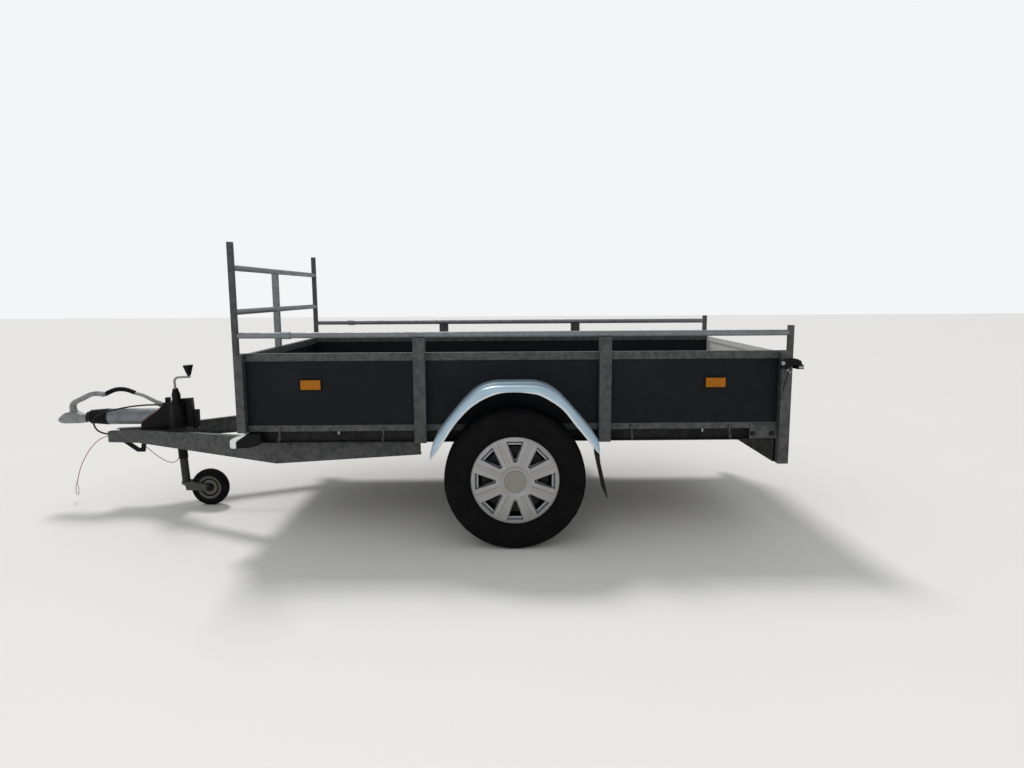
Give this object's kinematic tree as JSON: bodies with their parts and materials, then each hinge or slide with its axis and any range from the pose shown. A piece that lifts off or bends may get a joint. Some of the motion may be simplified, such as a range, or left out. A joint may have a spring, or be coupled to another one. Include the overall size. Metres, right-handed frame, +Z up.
{
  "type": "utility trailer",
  "caption": "Single-axle box trailer with plywood sides, front rack, hinged tailgate, overrun ball coupling and jockey wheel.",
  "frame": {"origin": "middle of the trailer's length and width, on the ground", "axes": "+X forward to the coupling, +Y to the trailer's left, +Z up"},
  "size_m": [3.8636, 1.7598, 1.378],
  "materials": {
    "galvanised_steel": "spangled zinc, weathered grey",
    "bright_zinc": "newer pressed zinc sheet",
    "film_faced_ply": "smooth phenolic film, near black",
    "gate_sheet": "pale zinc sheet on the panel",
    "dark_steel": "dark, dirty zinc",
    "black_steel": "black paint, worn",
    "cast_head": "cast, zinc plated, dull",
    "black_rubber": "matt",
    "tyre_rubber": "matt",
    "silver_plastic": "silver lacquer",
    "wheel_steel": "dark, dusty",
    "black_plastic": "matt",
    "amber_lens": "moulded prisms",
    "white_lens": "clear white",
    "red_lens": "moulded prisms",
    "red_wire": "red sleeve on wire",
    "zinc_clip": "bright zinc"
  },
  "bodies": {
    "chassis": {"drawbar_beam_left": "galvanised_steel", "drawbar_beam_right": "galvanised_steel", "chassis_rails": "dark_steel", "cross_members": "dark_steel", "floor_board": "film_faced_ply", "side_panel_left": "film_faced_ply", "side_panel_right": "film_faced_ply", "side_frame_left": "galvanised_steel", "side_frame_right": "galvanised_steel", "corner_posts": "galvanised_steel", "side_rails": "galvanised_steel", "rack_posts": "galvanised_steel", "rack_bars": "galvanised_steel", "front_board": "film_faced_ply", "front_board_frame": "galvanised_steel", "tailgate_hinges": "galvanised_steel", "rear_lamp_bar": "galvanised_steel", "rear_lamps": "red_lens", "marker_lamp_bodies": "black_plastic", "marker_lamp_lenses": "white_lens", "reflector_bases": "black_plastic", "reflector_lenses": "amber_lens", "mudguard_left": "bright_zinc", "mudguard_right": "bright_zinc", "mud_flaps": "black_rubber", "axle": "galvanised_steel", "overrun_tube": "galvanised_steel", "overrun_bracket": "black_steel", "bellows": "black_rubber", "coupling_head": "cast_head", "coupling_handle": "cast_head", "handbrake_lever": "galvanised_steel", "handbrake_grip": "black_plastic", "brake_relay_lever": "black_steel", "brake_rod": "black_steel", "jockey_outer_tube": "black_steel", "jockey_clamp": "black_steel", "jockey_crank": "black_steel", "jockey_knob": "black_plastic", "lamp_cable": "black_rubber", "plug": "black_plastic", "plug_holder": "black_plastic", "breakaway_cable": "red_wire", "breakaway_clip": "zinc_clip"},
    "wheel_left": {"brake_drum_left": "black_steel", "rim_left": "wheel_steel", "tyre_left": "tyre_rubber", "hubcap_left": "silver_plastic"},
    "wheel_right": {"brake_drum_right": "black_steel", "rim_right": "wheel_steel", "tyre_right": "tyre_rubber", "hubcap_right": "silver_plastic"},
    "tailgate": {"tailgate_panel": "gate_sheet", "tailgate_frame": "galvanised_steel", "tailgate_latches": "black_steel"},
    "jockey_slide": {"jockey_inner_tube": "black_steel"},
    "jockey_swivel": {"jockey_fork": "black_steel"},
    "jockey_wheel": {"jockey_rim": "wheel_steel", "jockey_tyre": "tyre_rubber"}
  },
  "joints": [
    {"name": "wheel_left_spin", "type": "hinge", "parent": "chassis", "child": "wheel_left", "pos_m": [-0.6042, 0.7751, 0.319], "axis": [0, 1, 0], "continuous": true},
    {"name": "wheel_right_spin", "type": "hinge", "parent": "chassis", "child": "wheel_right", "pos_m": [-0.6042, -0.7751, 0.319], "axis": [0, 1, 0], "continuous": true},
    {"name": "tailgate_hinge", "type": "hinge", "parent": "chassis", "child": "tailgate", "pos_m": [-1.9082, 0, 0.495], "axis": [0, -1, 0], "range_deg": [0, 180]},
    {"name": "jockey_lift", "type": "slide", "parent": "chassis", "child": "jockey_slide", "axis": [0.0511, 0, 0.9987], "range_m": [-0.08, 0.11]},
    {"name": "jockey_swivel", "type": "hinge", "parent": "jockey_slide", "child": "jockey_swivel", "pos_m": [1.1873, 0.13249, 0.13337], "axis": [0.0511, 0, 0.9987], "continuous": true},
    {"name": "jockey_wheel_spin", "type": "hinge", "parent": "jockey_swivel", "child": "jockey_wheel", "pos_m": [1.0568, 0.13249, 0.1], "axis": [0, 1, 0], "continuous": true}
  ]
}
